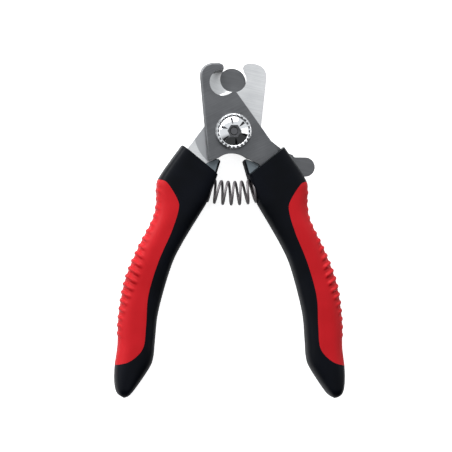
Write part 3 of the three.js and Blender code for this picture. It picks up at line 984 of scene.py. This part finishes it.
# %% Lay a grid round the handle
tip_round = 7.0  # the last stretch, where the thickness rounds off
skin_depth = 0.02
waist_depth, waist_y, waist_spread = 0.3, -66, 17  # the body is thinner where the ribs stand highest


def section_point(angle, power):
    """A point of a superellipse with both half widths 1."""
    c, s = math.cos(angle), math.sin(angle)
    return c, s, math.copysign(abs(c) ** power, c), math.copysign(abs(s) ** power, s)


def handle_body(name, rows, around, ribbed):
    """A closed handle, with ribs on its outer side or without."""
    shares = np.linspace(0, 1, rows + 1)
    outer = spaced(outer_line, shares)
    inner = spaced(inner_line, shares)
    bm = bmesh.new()
    bmesh.ops.create_grid(bm, x_segments=rows, y_segments=around, size=0.5)
    for v in bm.verts:
        i = round((v.co.x + 0.5) * rows)
        angle = (v.co.y + 0.5) * math.tau
        centre = (outer[i] + inner[i]) / 2
        reach = (outer[i] - inner[i]) / 2
        a = max(np.linalg.norm(reach), 1e-3)
        to_tip = (1 - shares[i]) * outer_length
        waist = waist_depth * math.exp(-(((centre[1] - waist_y) / waist_spread) ** 2))
        b = half_thickness - skin_depth - waist
        b *= math.sqrt(max(0.0, 1 - max(0.0, 1 - to_tip / tip_round) ** 2))
        power = 2 / squareness(centre[1])
        c, s, across, up = section_point(angle, power)
        stand = 0.0
        if ribbed and across > 0:
            stand = rib_height(shares[i] * outer_length, (1 - across) * a, centre[1])
        slope = Vector((
            abs(across) ** (2 / power - 1) * math.copysign(1, c) / a,
            abs(up) ** (2 / power - 1) * math.copysign(1, s) / max(b, 1e-3),
        )).normalized()
        flat = Vector((reach[0], reach[1])) / a * (across * a + stand * slope.x)
        v.co = (centre[0] + flat.x, centre[1] + flat.y, mid + up * b + stand * slope.y)
    bmesh.ops.remove_doubles(bm, verts=bm.verts, dist=2e-3)
    bmesh.ops.holes_fill(bm, edges=[e for e in bm.edges if e.is_boundary])
    return piece(name, bm)


print("half thickness at the waist:", round(half_thickness - skin_depth - waist_depth, 2), "mm")

# %% [markdown]
# ### The cutting shapes
# The grip and the shells are cut from the same body along the same line, with the real gap
# between them, so they always meet. Each pocket is the shape of what it holds, a little larger.

# %% Cutters for the grip and the blade end
far = 30  # longer than anything that is cut
rail_side = 3.2


def grip_region(gap=0.0):
    """Everything on the grip's side of its edge, less a gap."""
    edge = beside(smooth_line(grip_edge, 10), -gap)
    return plate([*map(tuple, edge), (70, -106), (70, -18)], -2, handle_top + 2)


def past_the_cut():
    """Everything beyond the straight end of the shells."""
    a, b = Vector(end_outer), Vector(end_inner)
    along = (b - a).normalized()
    outwards = Vector((along.y, -along.x))
    if outwards.dot(a) > 0:
        outwards = -outwards
    a, b = a - along * far, b + along * far
    return plate([a, b, b + outwards * far, a + outwards * far], -2, handle_top + 2)


def grip_rail(depth):
    """The rail of the core that the grip is moulded round."""
    skin = spaced(beside(outer_line, -depth - 2.7), np.linspace(0.2, 0.82, 60))
    inside = spaced(beside(smooth_line(grip_edge, 10), -2.0), np.linspace(0.14, 0.84, 60))[::-1]
    return plate([*map(tuple, skin), *map(tuple, inside)], depth + rail_side, handle_top - depth - rail_side)


print("rail is", round(handle_top - 2 * rail_side, 1), "mm thick")

# %% Cutters for what the handle holds
seat_gap = 0.35
seat_depth = 12
pocket_gap = 0.4


def spring_seat():
    """The round seat of the spring's end."""
    radius = coil_radius + wire_radius + seat_gap
    angle = half_span / bow_radius
    bm = rod(radius, -seat_depth / 2, seat_depth / 2, sides=64)
    stand_up = Matrix.Rotation(math.pi / 2, 4, "Y")
    seat = Matrix.Translation((wire_radius + seat_gap - seat_depth / 2, -bow_radius, 0))
    swing = Matrix.Translation(bow_centre) @ Matrix.Rotation(angle, 4, "Z")
    bmesh.ops.transform(bm, matrix=swing @ seat @ stand_up, verts=bm.verts)
    return bm


def guard_pocket():
    """The room that the guard's arm swings in, at the back of the right-hand handle."""
    gap = pocket_gap
    below = tab[1] - tab_radius - gap
    room = [(6 - gap, -6 - gap), (14 - gap, -11.2 - gap), (24.2 - gap, below), (60, below), (60, 20), (0, 20)]
    return plate(room, -2, guard_front + 0.1)


def half_space(low, high):
    """A slab between two levels, wider than the handle."""
    return plate([(-20, 30), (90, 30), (90, -140), (-20, -140)], low, high)


print("seat radius:", round(coil_radius + wire_radius + seat_gap, 2), "mm")

# %% [markdown]
# ### Grip and shells
# The core gets its rail, the screw holes, the tang's slot and the spring's seat while it is
# whole, and is then parted into a front and a rear shell, as the two halves of a mould would
# make them. That way every hole and slot lines up across the parting.

# %% Cut the grip and the core
parting = 0.1
rail_gap = 0.1
seam_gap = 0.03
head_bore, thread_bore = 2.25, 1.35
tang_room = 0.25

grip = handle_body("right_grip_moulded", 420, 112, ribbed=True)
grip.data.materials.append(red_rubber)
carve(grip, tool(grip_region()), "INTERSECT")
carve(grip, tool(grip_rail(0.0)))

core = handle_body("core", 150, 72, ribbed=False)
core.data.materials.append(black_plastic)
carve(core, tool(past_the_cut()))
carve(core, tool(grip_region(seam_gap)))
carve(core, tool(grip_rail(rail_gap)), "UNION")
for place in screw_places:
    carve(core, tool(rod(head_bore, -2, 2.35, place, 48)))
    carve(core, tool(rod(thread_bore, 2, 14, place, 32)))
carve(core, tool(plate(tang_outline(tang_room), tang_back - 0.1, tang_front + 0.1)))
carve(core, tool(spring_seat()))
print("grip faces:", len(grip.data.polygons), "core faces:", len(core.data.polygons))


# %% Part the core into two shells
def shell(name, low, high):
    """One half of the core, between two levels."""
    bm = bmesh.new()
    bm.from_mesh(core.data)
    made = piece(name, bm, black_plastic, ledge_sheen_plastic)
    return carve(made, tool(half_space(low, high)), "INTERSECT")


front_shell = shell("right_front_shell_moulded", mid + parting / 2, handle_top + 2)
rear_shell = shell("right_rear_shell_moulded", -2, mid - parting / 2)
bpy.data.objects.remove(core)
print("front shell faces:", len(front_shell.data.polygons))

# %% [markdown]
# ### The ledge
# The rear shell runs on under the blades as a small ledge that the tang's heel rests on. Its
# upper face carries a painted sheen, a blue grey, beside a black rim, so the face is parted by a
# bisect along the rim and each side gets its own look.

# %% The ledge that runs on under the blades
ledge_outline = [(7.6, -21), (5.25, -13.2), (6.2, -12.15), (11.9, -14.5), (14.5, -20.5)]
ledge_foot = [(7.6, -21), (5.6, -13), (6.7, -12), (12.2, -14), (14.5, -20.5)]
ledge_back = 1.6
rim_width = 0.9


def ledge_block():
    """The ledge, with a black rim along its inner side and a face of painted sheen beside it."""
    bm = plate(ledge_outline, ledge_back, mid - 0.1)
    start, end = (Vector((*corner, 0)) for corner in (ledge_outline[1], ledge_outline[0]))
    along = (end - start).normalized()
    inwards = Vector((-along.y, along.x, 0))
    line = start + rim_width * inwards
    bmesh.ops.bisect_plane(bm, geom=bm.verts[:] + bm.edges[:] + bm.faces[:], plane_co=line, plane_no=inwards)
    for face in bm.faces:
        sheen_face = face.normal.z > 0.9 and (face.calc_center_median() - line).dot(inwards) > 0
        face.material_index = int(sheen_face)
    return piece("ledge", bm, black_plastic, ledge_sheen_plastic)


ledge = ledge_block()
carve(ledge, tool(plate(ledge_foot, ledge_back, guard_back - 0.2)), "UNION")
carve(ledge, tool(spring_seat()))
carve(ledge, tool(plate(tang_outline(tang_room), tang_back - 0.1, tang_front + 0.1)))
carve(rear_shell, ledge, "UNION")
print("rear shell faces:", len(rear_shell.data.polygons))

# %% [markdown]
# ### The left-hand handle
# The left handle is the mirror of the right one, but it has no pocket for the guard's arm. So
# the rear shell is mirrored before that pocket is cut.

# %% Mirror and ease the shells
moulded_corner = 0.2


def mirrored(thing, name):
    """The same piece for the other side of the clipper."""
    bm = bmesh.new()
    bm.from_mesh(thing.data)
    bmesh.ops.scale(bm, vec=(-1, 1, 1), verts=bm.verts)
    bmesh.ops.reverse_faces(bm, faces=bm.faces)
    other = piece(name, bm, *thing.data.materials)
    return other


left_rear_shell = mirrored(rear_shell, "left_rear_shell_moulded")
carve(rear_shell, tool(guard_pocket()))
for thing in (front_shell, rear_shell, left_rear_shell):
    soften(thing, moulded_corner, 2, 48)

left_front_shell = mirrored(front_shell, "left_front_shell_moulded")
left_grip = mirrored(grip, "left_grip_moulded")
print("left-hand pieces:", left_rear_shell.name, left_front_shell.name, left_grip.name)

# %% [markdown]
# ## Screws
# Six self-tapping screws hold the shells from behind. Each is turned from a half profile, with
# wide V-threads as in plastic screws, and its cross recess is cut by two bars.

# %% The six screws
head_level = 0.7
head_height = 1.5
screw_head, screw_root, screw_thread = 2.1, 0.85, 1.2
recess_bar = (2.6, 0.6, 1.6)
recess_turn = 0.4


def screw_profile():
    """A pan head and a coarse thread that ends in a point."""
    under = head_level + head_height
    profile = [
        (0, head_level + 0.1), (1.2, head_level + 0.04), (1.9, head_level), (screw_head, head_level + 0.25),
        (screw_head, under - 0.1), (2.0, under), (screw_root, under),
    ]
    z = under + 0.4
    while z < under + 10.4:
        profile += [(screw_root, z), (screw_thread, z + 0.45), (screw_root, z + 0.9)]
        z += 1.1
    return [*profile, (screw_root, under + 11), (0, under + 11.6)]


def screw(name, place):
    """One screw at its place, head to the back."""
    made = piece(name, turned(screw_profile(), 32), zinc)
    for turn in (recess_turn, recess_turn + math.pi / 2):
        bm = bmesh.new()
        bar = Matrix.Rotation(turn, 4, "Z") @ Matrix.Diagonal((*recess_bar, 1))
        bmesh.ops.create_cube(bm, size=1, matrix=bar)
        bmesh.ops.translate(bm, vec=(0, 0, head_level), verts=bm.verts)
        carve(made, tool(bm))
    made.data.transform(Matrix.Translation((*place, 0)))
    return made


screws = []
for number, place in enumerate(screw_places, 1):
    for side, sign in (("left", -1), ("right", 1)):
        made = screw(f"{side}_screw_{number}_turned", (sign * place[0], place[1]))
        screws.append((made, side, number))
print("screws:", len(screws))

# %% [markdown]
# ## Riding on the model
# Each piece takes the place of its plain solid and moves with the same body. The list gives the
# piece, its body, the node it stands for and the slot its finish comes from.

# %% Place, ride and replace
LEFT, RIGHT = "left_lever", "right_lever"
riders = [
    (front_blade, RIGHT, "front_blade", "front_blade_steel"),
    (rear_blade, LEFT, "rear_blade", "rear_blade_steel"),
    (guard, "guard", "guard_plate", "guard_steel"),
    (bolt, LEFT, "pivot_bolt", "zinc_steel"),
    (wave_washer, LEFT, "wave_washer", "spring_steel"),
    (nut_washer, LEFT, "nut_washer", "zinc_steel"),
    (nut, LEFT, "pivot_nut", "chrome"),
    (left_front_shell, LEFT, "left_front_shell", "black_plastic"),
    (left_rear_shell, LEFT, "left_rear_shell", "black_plastic"),
    (left_grip, LEFT, "left_grip", "red_grip"),
    (front_shell, RIGHT, "right_front_shell", "black_plastic"),
    (rear_shell, RIGHT, "right_rear_shell", "black_plastic"),
    (grip, RIGHT, "right_grip", "red_grip"),
]
for made, side, number in screws:
    riders.append((made, f"{side}_lever", f"{side}_screw_{number}", "zinc_steel"))

crisp_angles = {"front_blade": 28, "rear_blade": 28, "guard_plate": 28, "left_grip": 45, "right_grip": 45}
for thing, body, node, finish_slot in riders:
    even_out(thing, crisp_angles.get(node, 34))
    settle(thing)
    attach(thing, body)
    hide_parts(node)
print("riding pieces:", len(riders))

# %% [markdown]
# ### The spring between the levers
# The spring belongs to both levers: one end rests in each handle. Here it is only moved to its
# place and stands in for its plain solid. It follows neither lever, so it does not close up as
# the handles are squeezed.

# %% Place the spring
settle(spring)
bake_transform(spring)
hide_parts("return_spring")
print("pieces:", len(riders) + 1)

# %% [markdown]
# ## Studio
# A white table under soft light. A large softbox stands beyond the jaws, a second to the left, and
# the side nearest the viewer is left dark, which is what gives the nut its white top and black
# foot. The table adds a little of its own light to what the camera sees, so it reads as white.

# %% Table
table_glow = 0.8


def studio_table():
    """A matt white table, far larger than the view."""
    bm = bmesh.new()
    bmesh.ops.create_grid(bm, x_segments=1, y_segments=1, size=3)
    table = piece("table", bm)
    look, tree, shader = new_finish("paper_white", Base_Color=linear("#f4f4f4"), Roughness=0.9)
    path = add_node(tree, "ShaderNodeLightPath")
    glow = add_node(
        tree, "ShaderNodeMath", {"operation": "MULTIPLY"}, {0: path.outputs["Is Camera Ray"], 1: table_glow}
    ).outputs[0]
    light = add_node(tree, "ShaderNodeEmission", inputs={"Strength": glow})
    both = add_node(
        tree, "ShaderNodeAddShader", inputs={0: shader.outputs[0], 1: light.outputs[0]}
    )
    tree.links.new(both.outputs[0], tree.nodes["Material Output"].inputs["Surface"])
    table.data.materials.append(look)
    return table


studio_table()
print("table at z = 0, glow", table_glow)


# %% Softboxes
def softbox(name, place, size, watts, aim=(0, 0, 0)):
    """A rectangular lamp that faces a point on the table."""
    light = bpy.data.lights.new(name, "AREA")
    light.shape = "RECTANGLE"
    light.size, light.size_y = size
    light.energy = watts
    lamp = bpy.data.objects.new(name, light)
    collection.objects.link(lamp)
    lamp.location = place
    lamp.rotation_euler = (Vector(aim) - Vector(place)).to_track_quat("-Z", "Y").to_euler()
    return lamp


softbox("softbox_beyond", (-0.15, 0.6, 0.3), (0.9, 0.35), 4)
softbox("softbox_left", (-0.75, 0.45, 0.4), (0.5, 0.4), 4)
softbox("softbox_right", (0.85, 0.1, 0.5), (0.4, 0.6), 1.0)
print("softboxes:", len(bpy.data.lights))

# %% [markdown]
# ### The room
# The room is bright beyond the clipper and dark behind the viewer. The direction's share along
# one horizontal line gives that, softened to a smooth step. The camera itself sees plain white.

# %% Sky of the room
bright_side = (-0.34, 0.94, 0)
dark_strength, bright_strength = 0.05, 0.9

world = bpy.data.worlds.new("studio")
bpy.context.scene.world = world
world.use_nodes = True
sky = world.node_tree
direction = add_node(sky, "ShaderNodeTexCoord").outputs["Generated"]
beyond = add_node(
    sky, "ShaderNodeVectorMath", {"operation": "DOT_PRODUCT"}, {0: direction, 1: bright_side}
).outputs["Value"]
sky_light = add_node(
    sky, "ShaderNodeMapRange", {"interpolation_type": "SMOOTHSTEP"},
    {"Value": beyond, "From Min": -0.4, "From Max": 0.06, "To Min": dark_strength, "To Max": bright_strength},
).outputs["Result"]
camera_ray = add_node(sky, "ShaderNodeLightPath").outputs["Is Camera Ray"]
seen_sky = add_node(
    sky, "ShaderNodeMix", {"data_type": "FLOAT"}, {"Factor": camera_ray, "A": sky_light, "B": 1.0}
).outputs["Result"]
sky.nodes["Background"].inputs["Color"].default_value = linear("#f4f7fa")
sky.links.new(seen_sky, sky.nodes["Background"].inputs["Strength"])
print("room light from", dark_strength, "to", bright_strength)

# %% [markdown]
# ## Camera
# The camera looks down on the table from 0.9 m, leaning a little to the left, so that the sides
# which face left just show. The lens is worked out from the width of the view.

# %% Camera
lens_distance = 0.9
frame_width = 0.2006  # width of the view at the clipper
sensor_width = 36
lean_left = math.radians(7)
roll = math.radians(0.65)
aim = Vector((-0.0025, pivot.y - 0.04196, mid * MM))
camera = bpy.data.objects.new("camera", bpy.data.cameras.new("camera"))
collection.objects.link(camera)
camera.data.sensor_width = sensor_width
camera.data.lens = sensor_width * lens_distance / frame_width
camera.location = aim + lens_distance * Vector((-math.sin(lean_left), 0, math.cos(lean_left)))
camera.rotation_euler = (
    Matrix.Rotation(-lean_left, 3, "Y") @ Matrix.Rotation(roll, 3, "Z")
).to_euler()
bpy.context.scene.camera = camera
bpy.context.scene.view_settings.view_transform = "Standard"
bpy.context.view_layer.update()
print("lens:", round(camera.data.lens), "mm")
